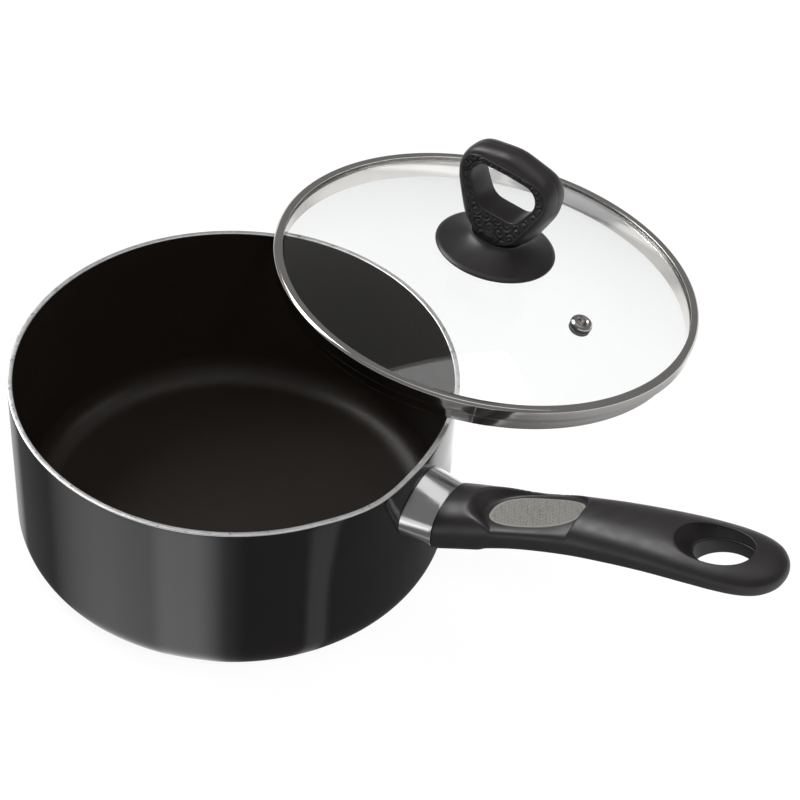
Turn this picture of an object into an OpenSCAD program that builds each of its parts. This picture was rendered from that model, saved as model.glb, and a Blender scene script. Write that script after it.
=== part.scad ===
// Saucepan with a long grip handle and a domed glass lid set aside on its rim.
// Millimetres, +Z up, +X along the handle, origin at the middle of the base underside.

/* [Pan] */
// Outside radius at the rim
rim_r = 105; // [103:1:107]
// Height from the base to the rim
pan_h = 94; // [92:1:97]
// Thickness of the side wall
wall_t = 2.5; // [2:0.1:3]
// Thickness of the floor
floor_t = 3.5; // [3:0.5:5]
// How much smaller the radius is at the bottom than at the rim
draft = 1.6; // [1:0.1:2]
// Outside radius of the bottom corner
corner_r = 15.7; // [12:0.1:18]
// Depth of the flat pressed into the wall under the handle
flat_depth = 1.5; // [1.3:0.1:1.7]

/* [Handle] */
// Height of the handle's front end above the base
grip_z = 69; // [66:1:70]
// Distance from the pan's axis to the handle's front end
grip_x = 119; // [119:0.5:121]
// Length of the grip measured along the ground
grip_len = 162; // [155:0.5:168]
// Rise of the grip per millimetre at its front end
grip_rise = 0.56; // [0.54:0.005:0.58]
// Depth of the thumb scoop below the grip's centre line top
scoop_w = 3.95; // [3.9:0.05:4.4]
// Radius of the thumb scoop
scoop_r = 294; // [280:2:310]
// Half width of the ferrule at the wall
ferrule_w = 19.2; // [18.8:0.1:19.6]
// Height of the ferrule above its widest line at the wall
ferrule_up = 17.2; // [16.8:0.1:17.6]
// Height of the ferrule below its widest line at the wall
ferrule_low = 15; // [14.6:0.1:15.4]

/* [Lid] */
// Outside radius of the lid's steel band
lid_r = 105; // [104.8:0.1:105.2]
// Height of the band above its step
band_h = 6.8; // [6.8:0.1:7.4]
// Depth of the skirt below the step
skirt_h = 7.4; // [6:0.1:7.4]
// Rise of the glass above the band
dome_h = 16; // [15.8:0.1:16.4]
// Thickness of the glass
glass_t = 3.8; // [3.4:0.1:3.8]
// Turn of the knob loop about the lid's axis
knob_turn = -40; // [-90:5:90]
// Tilt of the lid as it is set down
lid_tilt = 9.27; // [9:0.01:9.4]

/* [Show] */
// Sub-part to draw

/* [Hidden] */
$fn = 96;
bottom_r = rim_r - draft;
in_corner = corner_r - wall_t;
flat_x = rim_r - flat_depth;
flat_lean = 0.95;
bend = 0.001268;
skirt_r = lid_r - 4.2;
sheet = 0.6;
dome_edge = 101;
dome_r = (dome_edge * dome_edge + (dome_h + 1) * (dome_h + 1)) / (2 * (dome_h + 1));
lid_pos = [62.9, 124.8, 99.4];
lid_az = 64.76;
view_az = 35;
vent_turn = -50.7;
vent_lean = asin(60.7 / dome_r);
black = [0.07, 0.07, 0.07];
steel = [0.75, 0.75, 0.77];
dark = [0.13, 0.12, 0.13];

// ---------- shared shapes ----------

function oval(a, b, n, p) = [
  for (i = [0:n - 1])
    let (t = 360 * i / n, c = cos(t), s = sin(t))
      [a * sign(c) * pow(abs(c), 2 / p), b * sign(s) * pow(abs(s), 2 / p)]
];

// Height, slope and the frame of the grip's centre line at a distance x from the pan's axis
function line_z(x) = grip_z + grip_rise * (x - grip_x) - bend * (x - grip_x) * (x - grip_x);
function line_a(x) = atan(grip_rise - 2 * bend * (x - grip_x));

// Puts children with X along the grip, Z up out of it, at a distance x from the pan's axis
module on_grip(x) {
  translate([x, 0, line_z(x)])
    rotate([0, -line_a(x), 0])
      children();
}

// ---------- pan ----------

module wall_outline(r_top, r_low, z_low, r_corner) {
  polygon([
    [0, z_low], [r_low - r_corner, z_low], [r_low - r_corner, z_low + r_corner],
    [r_low, z_low + r_corner], [r_top, pan_h + (z_low > 0 ? 1 : 0)], [0, pan_h + (z_low > 0 ? 1 : 0)]
  ]);
  translate([r_low - r_corner, z_low + r_corner])
    circle(r = r_corner);
}

// Everything on the pan's side of a plane that leans with the wall at the handle
module inside_flat(x) {
  translate([x, 0, pan_h])
    rotate([0, -flat_lean, 0])
      translate([-400, -200, -200])
        cube([400, 400, 400]);
}

module pan_body() {
  color(dark)
    difference() {
      intersection() {
        rotate_extrude()
          intersection() {
            wall_outline(rim_r, bottom_r, 0, corner_r);
            square([200, pan_h]);
          }
        inside_flat(flat_x);
      }
      intersection() {
        rotate_extrude()
          intersection() {
            wall_outline(rim_r - wall_t, bottom_r - wall_t, floor_t, in_corner);
            square([200, 200]);
          }
        inside_flat(flat_x - wall_t);
      }
      for (r = [30:9:84])
        translate([0, 0, -1])
          difference() {
            cylinder(r = r + 3.5, h = 1.4);
            translate([0, 0, -1])
              cylinder(r = r, h = 4);
          }
    }
}

// The pan's outside, grown a little, to trim what meets the wall
module wall_solid(grow) {
  intersection() {
    cylinder(r1 = bottom_r - 0.33 + grow, r2 = rim_r + grow, h = pan_h);
    inside_flat(flat_x + grow);
  }
}

// Puts children with Z pointing out of the flat at a height z on the wall
module on_flat(z) {
  translate([flat_x + (pan_h - z) * tan(flat_lean), 0, z])
    rotate([0, 90 - flat_lean, 0])
      children();
}

stud_y = [-9.6, 9.6];
stud_z = 74;

module weld_studs() {
  color(steel)
    for (y = stud_y)
      on_flat(stud_z)
        translate([0, y, 0.02]) {
          cylinder(r = 3.2, h = 0.8);
          cylinder(r = 2, h = 9);
        }
}

module stud_nuts() {
  color(steel)
    for (y = stud_y)
      on_flat(stud_z)
        translate([0, y, 3.35])
          difference() {
            cylinder(r = 3.6, h = 3.2, $fn = 6);
            translate([0, 0, -1])
              cylinder(r = 2.02, h = 6);
          }
}

module bracket() {
  color(steel)
    difference() {
      union() {
        on_flat(stud_z)
          translate([-4.6, -12.8, 0.85])
            cube([18, 25.6, 2.4]);
        intersection() {
          on_grip(grip_x)
            translate([-30, -5.5, 4.4])
              cube([48, 11, 2.8]);
          on_flat(stud_z)
            translate([-60, -20, 0.85])
              cube([120, 40, 80]);
        }
      }
      for (y = stud_y)
        on_flat(stud_z)
          translate([0, y, -1])
            cylinder(r = 2.2, h = 5);
      on_grip(129)
        translate([0, 0, -5])
          cylinder(r = 2.05, h = 20);
    }
}

// An oval with a pointed arch of its own above the widest line
function arch(a, up, up_p, low, low_p, n) = [
  for (i = [0:n - 1])
    let (
      c = cos(360 * i / n),
      s = sin(360 * i / n),
      p = s >= 0 ? up_p : low_p,
      b = s >= 0 ? up : low
    )
      [a * sign(c) * pow(abs(c), 2 / p), b * sign(s) * pow(abs(s), 2 / p)]
];

// The sleeve runs straight from an arch at the wall to an oval at the grip's front end
wall_x = 103.5;
wall_z = 70;
joint_z = grip_z + 0.6;

module sleeve(t, x0, x1) {
  n = 60;
  w = arch(ferrule_w - t, ferrule_up - t, 1.8, ferrule_low - t, 2.15, n);
  j = arch(16.9 - t, 14.3 - t, 2.15, 14.3 - t, 2.15, n);
  ring = [
    for (x = [x0, x1])
      let (f = (x - wall_x) / (grip_x - wall_x))
        for (i = [0:n - 1])
          [
            x, w[i][0] + f * (j[i][0] - w[i][0]),
            wall_z + w[i][1] + f * (joint_z + j[i][1] - wall_z - w[i][1])
          ]
  ];
  sides = [
    for (i = [0:n - 1])
      let (k = (i + 1) % n)
        each [[i, n + i, k], [k, n + i, n + k]]
  ];
  front = [[for (i = [0:n - 1]) i]];
  back = [[for (i = [0:n - 1]) 2 * n - 1 - i]];
  polyhedron(points = ring, faces = concat(sides, front, back), convexity = 2);
}

module ferrule() {
  color(steel)
    difference() {
      sleeve(0, 99, grip_x - 0.1);
      sleeve(1, 97, grip_x + 2);
      wall_solid(0.12);
    }
}

// ---------- handle ----------

// Half width, half height above and half height below the centre line, by distance along the grip
grip_w = [
  [0, 16.9], [0.05, 16.5], [0.13, 15.7], [0.25, 14.9], [0.38, 15.2], [0.5, 16.4], [0.63, 17.6],
  [0.75, 18.6], [0.81, 18.7], [0.86, 18.3], [0.905, 17.2], [0.945, 14.8], [0.972, 11.3],
  [0.99, 7.2], [1, 3]
];
grip_top = [
  [0, 12.5], [0.05, 12.4], [0.13, 12.1], [0.25, 11.4], [0.38, 11], [0.5, 10.4], [0.63, 9.7],
  [0.75, 8.9], [0.81, 8.5], [0.86, 8.1], [0.905, 7.5], [0.945, 6.6], [0.972, 5.3],
  [0.99, 3.6], [1, 1.3]
];
grip_low = [
  [0, 13], [0.105, 13.2], [0.13, 11.9], [0.25, 11], [0.38, 10.6], [0.5, 10.2], [0.63, 9.7],
  [0.75, 9.3], [0.81, 9.1], [0.86, 8.9], [0.905, 8.5], [0.945, 7.7], [0.972, 6.3],
  [0.99, 4.3], [1, 1.6]
];
// The front end is cut upright and the sections turn square to the grip behind it
function cut_a(s) = line_a(grip_x + s * grip_len) * min(1, s / 0.13);
steps = [
  0, 0.05, 0.105, 0.13, 0.19, 0.25, 0.31, 0.38, 0.44, 0.5, 0.565, 0.63, 0.69, 0.75, 0.81, 0.86,
  0.905, 0.945, 0.972, 0.99, 1
];
ring_n = 32;

function ring(s) =
  let (
    x = grip_x + s * grip_len,
    a = cut_a(s),
    k = 1 / cos(line_a(x) - a),
    zc = line_z(x) + 0.6 * max(0, 1 - s / 0.13),
    w = lookup(s, grip_w),
    up = lookup(s, grip_top) * k,
    lo = lookup(s, grip_low) * k
  ) [
    for (i = [0:ring_n - 1])
      let (
        t = 360 * i / ring_n,
        c = cos(t),
        q = sin(t),
        y = w * sign(c) * pow(abs(c), 2 / 2.3),
        v = (q >= 0 ? up : lo) * sign(q) * pow(abs(q), 2 / 2.3)
      )
        [x - v * sin(a), y, zc + v * cos(a)]
  ];

module grip_solid() {
  n = len(steps);
  pts = [for (s = steps) each ring(s)];
  sides = [
    for (k = [0:n - 2], i = [0:ring_n - 1])
      let (j = (i + 1) % ring_n, p = k * ring_n, q = (k + 1) * ring_n)
        each [[p + i, q + i, p + j], [p + j, q + i, q + j]]
  ];
  front = [[for (i = [0:ring_n - 1]) i]];
  back = [[for (i = [0:ring_n - 1]) n * ring_n - 1 - i]];
  polyhedron(points = pts, faces = concat(sides, front, back), convexity = 4);
}

scoop_x = 164;
hang_x = 250.5;
screw_x = 129;

module scoop_round(r, w) {
  on_grip(scoop_x)
    translate([-18.1, 0, scoop_w + scoop_r])
      rotate([90, 0, 0])
        cylinder(r = r, h = w, center = true);
}

// The thumb scoop: a shallow round floor with a steep rounded end towards the pan
module scoop_cut() {
  intersection() {
    scoop_round(scoop_r, 60);
    on_grip(scoop_x)
      hull() {
        translate([0.5, 0, 2])
          linear_extrude(0.02)
            polygon(oval(26.1, 12.6, 48, 2.4));
        translate([-2.9, 0, 12.5])
          linear_extrude(8)
            polygon(oval(30.1, 16.4, 48, 2.4));
      }
  }
}

module pad_prism(grow, low) {
  on_grip(scoop_x)
    translate([0, 0, low])
      linear_extrude(20)
        polygon([
          for (p = oval(25.1 + grow, 10.6 + grow, 48, 2.6))
            [p[0] + 1, p[1] * (1 - 0.0026 * p[0])]
        ]);
}

module handle_body() {
  color(black)
    difference() {
      grip_solid();
      scoop_cut();
      intersection() {
        pad_prism(0.15, -5);
        scoop_round(scoop_r + 2, 60);
      }
      // blind socket for the bracket's tongue
      on_grip(grip_x)
        translate([-14, -5.8, 4.1])
          cube([33, 11.6, 3.4]);
      // screw hole and its head pocket
      on_grip(screw_x) {
        translate([0, 0, -30])
          cylinder(r = 2.3, h = 36);
        translate([0, 0, -30])
          cylinder(r = 4.4, h = 19.5);
      }
      // hanging hole: a wide mouth above and a smaller way through
      on_grip(hang_x) {
        hull() {
          translate([1.4, 1.9, 0])
            linear_extrude(0.02)
              polygon(oval(15.2, 9, 48, 2));
          translate([-1.5, -0.9, 7.4])
            linear_extrude(12)
              polygon(oval(18, 11.7, 48, 2.24));
        }
        translate([1.4, 1.9, -25])
          linear_extrude(40)
            polygon(oval(15.2, 9, 48, 2));
      }
    }
}

module grip_insert() {
  color([0.53, 0.52, 0.49])
    difference() {
      intersection() {
        pad_prism(0, -5);
        scoop_round(scoop_r + 1.9, 60);
      }
      scoop_round(scoop_r - 0.4, 80);
    }
}

module handle_screw() {
  color(steel)
    on_grip(screw_x)
      translate([0, 0, -13.2])
        difference() {
          union() {
            cylinder(r = 4, h = 2.6);
            cylinder(r = 2, h = 19.8);
          }
          translate([0, 0, -1]) {
            translate([-0.5, -2.6, 0])
              cube([1, 5.2, 2.4]);
            translate([-2.6, -0.5, 0])
              cube([5.2, 1, 2.4]);
          }
        }
}

// ---------- lid, drawn level with its band's top at z = 0 ----------

module lid_place() {
  translate(lid_pos)
    rotate([0, 0, lid_az])
      rotate([0, lid_tilt, 0])
        rotate([0, 0, view_az - lid_az])
          children();
}

// Puts children on the dome with Z out of the glass, leaning away from the axis
module on_dome(turn, lean) {
  rotate([0, 0, turn])
    translate([0, 0, dome_h - dome_r])
      rotate([0, lean, 0])
        translate([0, 0, dome_r])
          children();
}

module rim_band() {
  color(steel)
    lid_place()
      rotate_extrude()
        polygon([
          [lid_r - 4.2, 0], [lid_r - 0.9, 0], [lid_r - 0.25, -0.25], [lid_r, -0.9],
          [lid_r, -band_h], [skirt_r, -band_h], [skirt_r, -band_h - skirt_h],
          [skirt_r - sheet, -band_h - skirt_h], [skirt_r - sheet, -band_h + sheet],
          [lid_r - sheet, -band_h + sheet], [lid_r - sheet, -sheet], [lid_r - 4.2, -sheet]
        ]);
}

module lid_glass() {
  color([0.85, 0.9, 0.9, 0.35])
    lid_place()
      difference() {
        intersection() {
          translate([0, 0, dome_h - dome_r])
            difference() {
              sphere(r = dome_r);
              sphere(r = dome_r - glass_t);
            }
          translate([0, 0, -20])
            cylinder(r = lid_r - 1.2, h = 60);
        }
        translate([0, 0, 5])
          cylinder(r = 4.5, h = 20);
        on_dome(vent_turn, vent_lean)
          translate([0, 0, -10])
            cylinder(r = 4, h = 20);
      }
}

module vent_eyelet() {
  color(steel)
    lid_place()
      on_dome(vent_turn, vent_lean)
        rotate_extrude()
          polygon([
            [2.4, 1.9], [3.4, 2.5], [4.6, 2.2], [5.2, 1.2], [5.2, 0.75], [3.3, 0.75],
            [3.3, -glass_t - 0.6], [5, -glass_t - 0.6], [5, -glass_t - 1.2],
            [2.7, -glass_t - 1.2], [2.4, -glass_t - 0.6]
          ]);
}

module vent_seal() {
  color([0.2, 0.2, 0.2])
    lid_place()
      on_dome(vent_turn, vent_lean) {
        translate([0, 0, 0.08])
          ring_of(3.4, 5.4, 0.6);
        translate([0, 0, -glass_t - 0.55])
          ring_of(3.4, 5.2, 0.5);
      }
}

module ring_of(r_in, r_out, h) {
  difference() {
    cylinder(r = r_out, h = h);
    translate([0, 0, -1])
      cylinder(r = r_in, h = h + 2);
  }
}

module knob_base() {
  color(black)
    lid_place()
      rotate_extrude()
        polygon(concat(
          [[3, dome_h + 1], [9, dome_h + 1], [9, dome_h + 4.6], [13, dome_h + 4.2], [28, dome_h - 0.3]],
          [[29.1, dome_h - 0.1], [29.5, dome_h + 0.6]],
          [for (t = [0:0.1:1]) [13.4 + 15.9 * pow(1 - t, 1.7), dome_h + 1.5 + 7.5 * t]],
          [[12.4, dome_h + 9], [12.4, dome_h + 7.6], [3, dome_h + 7.6]]
        ));
}

// The loop's outlines: its widest line in the middle, and the edge of its two flat faces
module crest_outline() {
  hull() {
    for (s = [-1, 1]) {
      translate([13.4 * s, 55.8])
        circle(r = 12.9, $fn = 48);
      translate([15.4 * s, 50])
        circle(r = 11, $fn = 48);
      translate([8 * s, 38])
        circle(r = 12.6, $fn = 48);
    }
    translate([0, 49.2])
      circle(r = 22, $fn = 72);
    translate([0, 36])
      circle(r = 12.1, $fn = 48);
  }
}

module face_outline() {
  hull() {
    for (s = [-1, 1]) {
      translate([15.2 * s, 55])
        circle(r = 9, $fn = 48);
      translate([1.8 * s, 37.2])
        circle(r = 13.4, $fn = 48);
    }
    translate([0, 50])
      circle(r = 14.3, $fn = 48);
  }
}

// The faces lean out a little towards the bottom
module low_face() {
  hull()
    for (s = [-1, 1])
      translate([1.8 * s, 37.2])
        circle(r = 13, $fn = 48);
}

module loop_hole() {
  hull() {
    for (s = [-1, 1]) {
      translate([11.3 * s, 53.3])
        circle(r = 7.2, $fn = 48);
      translate([6.2 * s, 46.2])
        circle(r = 8, $fn = 48);
    }
    translate([0, 53.8])
      circle(r = 7, $fn = 48);
  }
}

// A slab of an outline, upright and centred across the loop
module slab(depth) {
  rotate([90, 0, 0])
    linear_extrude(depth, center = true)
      children();
}

module knob_ring() {
  color(black)
    lid_place()
      rotate([0, 0, knob_turn])
        difference() {
          union() {
            hull() {
              slab(4.4)
                crest_outline();
              slab(11)
                offset(delta = -0.9)
                  crest_outline();
              slab(16.6)
                face_outline();
              slab(18.4)
                low_face();
            }
            translate([0, 0, dome_h + 7.8])
              cylinder(r = 9.4, h = 6);
          }
          slab(40)
            loop_hole();
          translate([0, 0, 10])
            cylinder(r = 4.1, h = 27);
        }
}

module knob_insert() {
  color([0.72, 0.6, 0.3])
    lid_place()
      translate([0, 0, 25])
        difference() {
          cylinder(r = 4, h = 11);
          translate([0, 0, -1])
            cylinder(r = 2.55, h = 20);
        }
}

module knob_screw() {
  color(steel)
    lid_place()
      difference() {
        union() {
          translate([0, 0, 7.2])
            cylinder(r = 5, h = 2.6);
          translate([0, 0, 9])
            cylinder(r = 2.5, h = 25);
        }
        translate([-0.6, -3.2, 6])
          cube([1.2, 6.4, 2.4]);
        translate([-3.2, -0.6, 6])
          cube([6.4, 1.2, 2.4]);
      }
}

module knob_washer() {
  color(steel)
    lid_place()
      translate([0, 0, 9.85])
        ring_of(2.7, 7.5, 0.9);
}

module lower_gasket() {
  color([0.2, 0.2, 0.2])
    lid_place()
      translate([0, 0, 10.8])
        ring_of(2.7, 8.5, 1.1);
}

module upper_gasket() {
  color([0.2, 0.2, 0.2])
    lid_place()
      translate([0, 0, dome_h + 0.05])
        ring_of(2.7, 8.5, 0.9);
}

// ---------- drawing ----------

pan_body();
weld_studs();
stud_nuts();
bracket();
ferrule();
handle_body();
grip_insert();
handle_screw();
rim_band();
lid_glass();
vent_eyelet();
vent_seal();
knob_base();
knob_ring();
knob_insert();
knob_screw();
knob_washer();
upper_gasket();
lower_gasket();
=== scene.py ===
"""Looks of a saucepan with a glass lid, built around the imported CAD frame. Lengths are in millimetres
until a mesh is made, in the part's own frame: +Z up, +X along the handle, origin under the base."""

import math

import bmesh
import bpy
import numpy as np
from mathutils import Matrix, Vector


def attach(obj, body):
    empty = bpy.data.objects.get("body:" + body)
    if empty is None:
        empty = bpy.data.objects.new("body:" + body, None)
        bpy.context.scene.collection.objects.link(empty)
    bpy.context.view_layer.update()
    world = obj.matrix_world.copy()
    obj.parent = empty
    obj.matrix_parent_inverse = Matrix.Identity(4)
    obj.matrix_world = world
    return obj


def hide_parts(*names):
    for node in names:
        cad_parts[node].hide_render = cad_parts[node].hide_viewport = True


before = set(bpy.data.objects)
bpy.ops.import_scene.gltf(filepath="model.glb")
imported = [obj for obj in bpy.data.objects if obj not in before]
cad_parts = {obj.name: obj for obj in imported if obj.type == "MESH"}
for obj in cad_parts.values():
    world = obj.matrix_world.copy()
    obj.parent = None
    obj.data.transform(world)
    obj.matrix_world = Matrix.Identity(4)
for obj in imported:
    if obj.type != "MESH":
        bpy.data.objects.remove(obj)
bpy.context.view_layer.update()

MM = 0.001
VIEW_TURN = math.radians(35)  # the handle's angle to the picture's right
CAMERA_AT = (538.80, -795.62, 971.79)
YAW, PITCH, ROLL = (math.radians(a) for a in (5.5217, 42.8098, 3.7944))


def smooth_step(x, low, high):
    t = np.clip((np.asarray(x, float) - low) / (high - low), 0, 1)
    return t * t * (3 - 2 * t)


def smooth_min(a, b, k):
    h = np.clip(0.5 + 0.5 * (b - a) / k, 0, 1)
    return b * (1 - h) + a * h - k * h * (1 - h)


def monotone(xs, ys):
    """A smooth curve through a table that never swings past its values."""
    xs, ys = np.array(xs, float), np.array(ys, float)
    order = np.argsort(xs)
    xs, ys = xs[order], ys[order]
    h = np.diff(xs)
    d = np.diff(ys) / h
    m = np.zeros(len(xs))
    for i in range(1, len(xs) - 1):
        if d[i - 1] * d[i] > 0:
            w1, w2 = 2 * h[i] + h[i - 1], h[i] + 2 * h[i - 1]
            m[i] = (w1 + w2) / (w1 / d[i - 1] + w2 / d[i])
    m[0], m[-1] = d[0], d[-1]

    def at(x):
        x = np.clip(np.asarray(x, float), xs[0], xs[-1])
        i = np.clip(np.searchsorted(xs, x) - 1, 0, len(xs) - 2)
        t = (x - xs[i]) / h[i]
        a = ys[i] * (1 + 2 * t) * (1 - t) ** 2 + ys[i + 1] * t * t * (3 - 2 * t)
        return a + h[i] * (m[i] * t * (1 - t) ** 2 + m[i + 1] * t * t * (t - 1))

    return at


def superpoint(a, b, p, turn):
    c, s = np.cos(turn), np.sin(turn)
    return a * np.sign(c) * np.abs(c) ** (2 / p), b * np.sign(s) * np.abs(s) ** (2 / p)


def rounded(corners, arc=5, closed=False):
    """A polyline through (x, y, radius) corners with each corner rounded by that radius."""
    out = []
    n = len(corners)
    for i, (x, y, r) in enumerate(corners):
        p = np.array([x, y], float)
        if r <= 0 or (not closed and i in (0, n - 1)):
            out.append(p)
            continue
        a = np.array(corners[i - 1][:2], float)
        b = np.array(corners[(i + 1) % n][:2], float)
        ua, ub = (a - p) / np.linalg.norm(a - p), (b - p) / np.linalg.norm(b - p)
        half = math.acos(float(np.clip(ua @ ub, -1, 1))) / 2
        if half > math.pi / 2 - 1e-3:
            out.append(p)
            continue
        cut = min(r / math.tan(half), 0.49 * np.linalg.norm(a - p), 0.49 * np.linalg.norm(b - p))
        r = cut * math.tan(half)
        mid = p + (ua + ub) / np.linalg.norm(ua + ub) * r / math.sin(half)
        start, end = p + ua * cut - mid, p + ub * cut - mid
        turn = math.atan2(start[0] * end[1] - start[1] * end[0], start @ end)
        for k in range(arc + 1):
            c, s = math.cos(turn * k / arc), math.sin(turn * k / arc)
            out.append(mid + np.array([c * start[0] - s * start[1], s * start[0] + c * start[1]]))
    return np.array(out)


def fill_in(path, step):
    """Splits the long stretches of a polyline."""
    out = [path[0]]
    for a, b in zip(path[:-1], path[1:]):
        k = max(1, int(np.linalg.norm(b - a) / step))
        out += [a + (b - a) * (i + 1) / k for i in range(k)]
    return np.array(out)


def spread(points, count, closed=False):
    """The same polyline with count steps of equal length."""
    pts = np.vstack([points, points[:1]]) if closed else np.asarray(points)
    run = np.concatenate([[0], np.cumsum(np.linalg.norm(np.diff(pts, axis=0), axis=1))])
    at = np.linspace(0, run[-1], count + 1)
    out = np.stack([np.interp(at, run, pts[:, k]) for k in range(pts.shape[1])], axis=1)
    return out[:-1] if closed else out


class Shell:
    """Gathers grids of quads and welds them into one clean mesh."""

    def __init__(self):
        self.points, self.faces, self.slots, self.marks = [], [], [], []

    def grid(self, pts, wrap_u=False, wrap_v=False, slot=0, skip=None, mark=None):
        pts = np.asarray(pts, float)
        nu, nv = pts.shape[:2]
        first = sum(len(p) for p in self.points)
        self.points.append(pts.reshape(-1, 3))
        self.marks.append(np.zeros(nu * nv) if mark is None else np.asarray(mark).reshape(-1))
        for i in range(nu if wrap_u else nu - 1):
            for j in range(nv if wrap_v else nv - 1):
                if skip is not None and skip(i, j):
                    continue
                a, b = i * nv + j, i * nv + (j + 1) % nv
                c, d = ((i + 1) % nu) * nv + (j + 1) % nv, ((i + 1) % nu) * nv + j
                self.faces.append((first + a, first + b, first + c, first + d))
                self.slots.append(slot(i, j) if callable(slot) else slot)

    def build(self, name, materials, body, replaces=(), move=None, weld=0.004):
        pts = np.vstack(self.points)
        if move is not None:
            pts = pts @ move[:3, :3].T + move[:3, 3]
        mesh = bpy.data.meshes.new(name)
        mesh.from_pydata((pts * MM).tolist(), [], self.faces)
        mesh.polygons.foreach_set("material_index", np.array(self.slots, np.int32))
        for m in materials:
            mesh.materials.append(m)
        # The marks become the relief attribute, whose values set the painted shade and highlight of the knob
        # and pad.
        marks = np.concatenate(self.marks)
        if marks.any():
            mesh.attributes.new("relief", "FLOAT", "POINT").data.foreach_set("value", marks)
        bm = bmesh.new()
        bm.from_mesh(mesh)
        bmesh.ops.remove_doubles(bm, verts=bm.verts, dist=weld * MM)
        bmesh.ops.dissolve_degenerate(bm, edges=bm.edges, dist=1e-7)
        bmesh.ops.recalc_face_normals(bm, faces=bm.faces)
        for f in bm.faces:
            f.smooth = True
        bm.to_mesh(mesh)
        bm.free()
        piece = bpy.data.objects.new(name, mesh)
        bpy.context.scene.collection.objects.link(piece)
        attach(piece, body)
        if replaces:
            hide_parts(*replaces)
        return piece


def lathe(path, turns):
    """Rings of a (radius, height) path at each angle in turns."""
    path = np.asarray(path, float)
    c, s = np.cos(turns), np.sin(turns)
    r, z = path[:, 0][:, None], path[:, 1][:, None]
    return np.stack([r * c, r * s, z + 0 * c], axis=2)


def turn_steps(count):
    return np.arange(count) * 2 * math.pi / count


def rot_z(a):
    m = np.eye(4)
    m[:2, :2] = [[math.cos(a), -math.sin(a)], [math.sin(a), math.cos(a)]]
    return m


def rot_y(a):
    m = np.eye(4)
    m[0, 0], m[0, 2], m[2, 0], m[2, 2] = math.cos(a), math.sin(a), -math.sin(a), math.cos(a)
    return m


def shift(x, y, z):
    m = np.eye(4)
    m[:3, 3] = x, y, z
    return m


# ---------- materials ----------


class Look:
    """One procedural material around a Principled shader."""

    def __init__(self, name, **sockets):
        self.material = bpy.data.materials.new(name)
        self.material.use_nodes = True
        self.tree = self.material.node_tree
        self.tree.nodes.clear()
        self.out = self.tree.nodes.new("ShaderNodeOutputMaterial")
        self.shader = self.node("BsdfPrincipled", **sockets)
        self.link(self.shader.outputs[0], self.out.inputs[0])
        self.place = self.node("TexCoord").outputs["Object"]

    def node(self, kind, settings=None, **sockets):
        n = self.tree.nodes.new("ShaderNode" + kind)
        for key, value in (settings or {}).items():
            setattr(n, key, value)
        for key, value in sockets.items():
            socket = n.inputs[key.replace("_", " ")]
            if isinstance(value, bpy.types.NodeSocket):
                self.link(value, socket)
            elif socket.type == "RGBA":
                socket.default_value = (*value, 1)
            else:
                socket.default_value = value
        return n

    def link(self, a, b):
        self.tree.links.new(a, b)

    def set(self, socket, value):
        self.link(value, self.shader.inputs[socket])

    def noise(self, scale, detail=3.0, rough=0.55, vector=None, stretch=None):
        vector = vector or self.place
        if stretch:
            vector = self.node("Mapping", Vector=vector, Scale=stretch).outputs[0]
        return self.node(
            "TexNoise", Vector=vector, Scale=scale, Detail=detail, Roughness=rough
        ).outputs["Fac"]

    def range(self, value, low, high, to_low, to_high):
        n = self.node("MapRange", Value=value)
        for i, v in zip((1, 2, 3, 4), (low, high, to_low, to_high)):
            n.inputs[i].default_value = v
        return n.outputs[0]

    def mix(self, fac, a, b):
        n = self.node("Mix", {"data_type": "RGBA"})
        self.link(fac, n.inputs[0])
        for socket, value in ((n.inputs[6], a), (n.inputs[7], b)):
            if isinstance(value, bpy.types.NodeSocket):
                self.link(value, socket)
            else:
                socket.default_value = (*value, 1)
        return n.outputs[2]

    def calc(self, kind, a, b=None):
        n = self.node("Math", {"operation": kind})
        for socket, value in ((n.inputs[0], a), (n.inputs[1], b)):
            if isinstance(value, bpy.types.NodeSocket):
                self.link(value, socket)
            elif value is not None:
                socket.default_value = value
        return n.outputs[0]

    def bump(self, height, strength, distance, under=None):
        n = self.node("Bump", Strength=strength, Distance=distance, Height=height)
        if under is not None:
            self.link(under, n.inputs["Normal"])
        return n.outputs[0]

    def round_line(self, scale, detail=2.0):
        """Noise that changes with radius and height only, as turned or brushed metal does."""
        xyz = self.node("SeparateXYZ", Vector=self.place)
        square = self.calc(
            "ADD",
            self.calc("MULTIPLY", xyz.outputs[0], xyz.outputs[0]),
            self.calc("MULTIPLY", xyz.outputs[1], xyz.outputs[1]),
        )
        along = self.calc("ADD", self.calc("SQRT", square), xyz.outputs[2])
        return self.node(
            "TexNoise", {"noise_dimensions": "1D"}, W=along, Scale=scale, Detail=detail
        ).outputs["Fac"]


def enamel_look():
    look = Look("enamel_gloss", Roughness=0.05, Specular_IOR_Level=0.5)
    height = look.node("SeparateXYZ", Vector=look.place).outputs[2]
    body = look.mix(look.noise(22, 2), (0.0042, 0.0036, 0.0041), (0.0066, 0.0058, 0.0064))
    # Dark brown towards the bottom edge, from 2 to 20 mm up: a painted reflection.
    low = look.range(height, 0.002, 0.02, 1.0, 0.0)
    look.set("Base Color", look.mix(low, body, (0.013, 0.0085, 0.007)))
    look.set("Roughness", look.range(look.noise(60, 4), 0.3, 0.7, 0.035, 0.07))
    look.set("Normal", look.bump(look.noise(260, 2), 0.05, 0.00005))
    return look.material


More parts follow.
